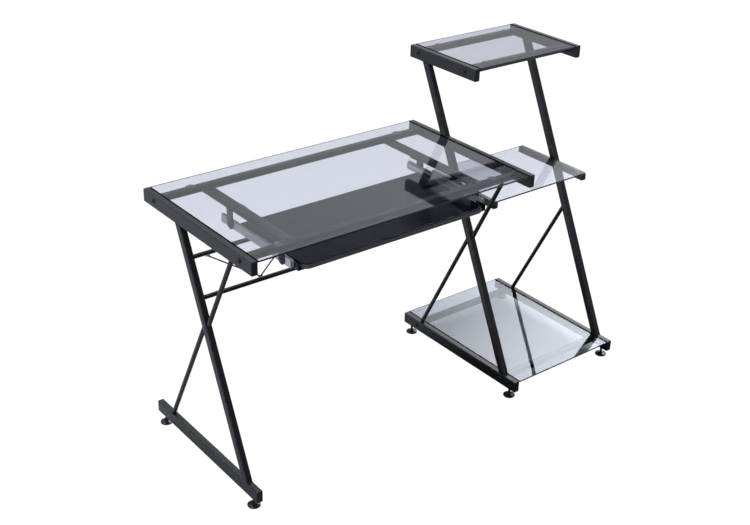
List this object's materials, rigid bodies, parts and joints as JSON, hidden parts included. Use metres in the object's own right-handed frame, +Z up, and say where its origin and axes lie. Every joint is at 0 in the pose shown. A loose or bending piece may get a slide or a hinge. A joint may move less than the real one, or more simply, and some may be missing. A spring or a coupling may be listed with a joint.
{
  "type": "computer desk",
  "caption": "Computer desk with a smoked glass top on a black steel tube frame, a keyboard tray that slides out, and a tower of glass shelves at its right side.",
  "frame": {"origin": "on the floor, under the middle of the bounding box", "axes": "+X to the right of the person at the desk, towards the shelf tower; +Y to the back; +Z up; the front faces -Y"},
  "size_m": [1.397, 0.5672, 0.998],
  "materials": {
    "black_steel": "fine black powder coat, satin",
    "smoked_glass": "clear polished float glass, lightly smoked",
    "slide_steel": "zinc plated sheet",
    "nut_steel": "zinc plated",
    "tray_board": "black laminate over board, satin",
    "glide_plastic": "moulded black, glossy"
  },
  "bodies": {
    "frame": {"desk_glass": "smoked_glass", "desk_rail_left": "black_steel", "desk_rail_right": "black_steel", "desk_crossbar_front": "black_steel", "desk_crossbar_rear": "black_steel", "hanger_bar_left": "black_steel", "hanger_bar_right": "black_steel", "drop_bracket_left_front": "black_steel", "drop_bracket_left_rear": "black_steel", "drop_bracket_right_front": "black_steel", "drop_bracket_right_rear": "black_steel", "slide_outer_left": "slide_steel", "slide_outer_right": "slide_steel", "leg_left": "black_steel", "brace_left_upper": "black_steel", "brace_left_lower": "black_steel", "foot_rail_left": "black_steel", "foot_rail_middle": "black_steel", "foot_rail_right": "black_steel", "stretcher_upper": "black_steel", "stretcher_lower": "black_steel", "truss_wire": "black_steel", "leg_middle": "black_steel", "post_middle": "black_steel", "brace_middle_upper": "black_steel", "brace_middle_lower": "black_steel", "post_right": "black_steel", "brace_right": "black_steel", "top_rail_left": "black_steel", "top_rail_right": "black_steel", "top_crossbar_front": "black_steel", "top_crossbar_rear": "black_steel", "top_glass": "smoked_glass", "mid_rail_left": "black_steel", "mid_rail_right": "black_steel", "mid_glass": "smoked_glass", "base_crossbar_front": "black_steel", "base_crossbar_rear": "black_steel", "base_glass": "smoked_glass", "glide_nut_left_front": "nut_steel", "glide_nut_left_rear": "nut_steel", "glide_nut_middle_front": "nut_steel", "glide_nut_middle_rear": "nut_steel", "glide_nut_right_front": "nut_steel", "glide_nut_right_rear": "nut_steel"},
    "tray": {"keyboard_tray": "tray_board", "tray_bracket_left_front": "black_steel", "tray_bracket_left_rear": "black_steel", "tray_bracket_right_front": "black_steel", "tray_bracket_right_rear": "black_steel", "slide_inner_left": "slide_steel", "slide_inner_right": "slide_steel"},
    "cage_left": {"slide_cage_left": "slide_steel"},
    "cage_right": {"slide_cage_right": "slide_steel"},
    "glide_left_front": {"glide_left_front": "glide_plastic"},
    "glide_left_rear": {"glide_left_rear": "glide_plastic"},
    "glide_middle_front": {"glide_middle_front": "glide_plastic"},
    "glide_middle_rear": {"glide_middle_rear": "glide_plastic"},
    "glide_right_front": {"glide_right_front": "glide_plastic"},
    "glide_right_rear": {"glide_right_rear": "glide_plastic"}
  },
  "joints": [
    {"name": "tray_slide", "type": "slide", "parent": "frame", "child": "tray", "axis": [0, -1, 0], "range_m": [0, 0.23]},
    {"name": "cage_left_slide", "type": "slide", "parent": "frame", "child": "cage_left", "axis": [0, -1, 0], "range_m": [0, 0.115]},
    {"name": "cage_right_slide", "type": "slide", "parent": "frame", "child": "cage_right", "axis": [0, -1, 0], "range_m": [0, 0.115]},
    {"name": "glide_left_front_screw", "type": "slide", "parent": "frame", "child": "glide_left_front", "axis": [0, 0, 1], "range_m": [0, 0.014]},
    {"name": "glide_left_rear_screw", "type": "slide", "parent": "frame", "child": "glide_left_rear", "axis": [0, 0, 1], "range_m": [0, 0.014]},
    {"name": "glide_middle_front_screw", "type": "slide", "parent": "frame", "child": "glide_middle_front", "axis": [0, 0, 1], "range_m": [0, 0.014]},
    {"name": "glide_middle_rear_screw", "type": "slide", "parent": "frame", "child": "glide_middle_rear", "axis": [0, 0, 1], "range_m": [0, 0.014]},
    {"name": "glide_right_front_screw", "type": "slide", "parent": "frame", "child": "glide_right_front", "axis": [0, 0, 1], "range_m": [0, 0.014]},
    {"name": "glide_right_rear_screw", "type": "slide", "parent": "frame", "child": "glide_right_rear", "axis": [0, 0, 1], "range_m": [0, 0.014]}
  ],
  "couplings": [
    {"joint": "cage_left_slide", "follows": "tray_slide", "ratio": 0.5},
    {"joint": "cage_right_slide", "follows": "tray_slide", "ratio": 0.5}
  ]
}
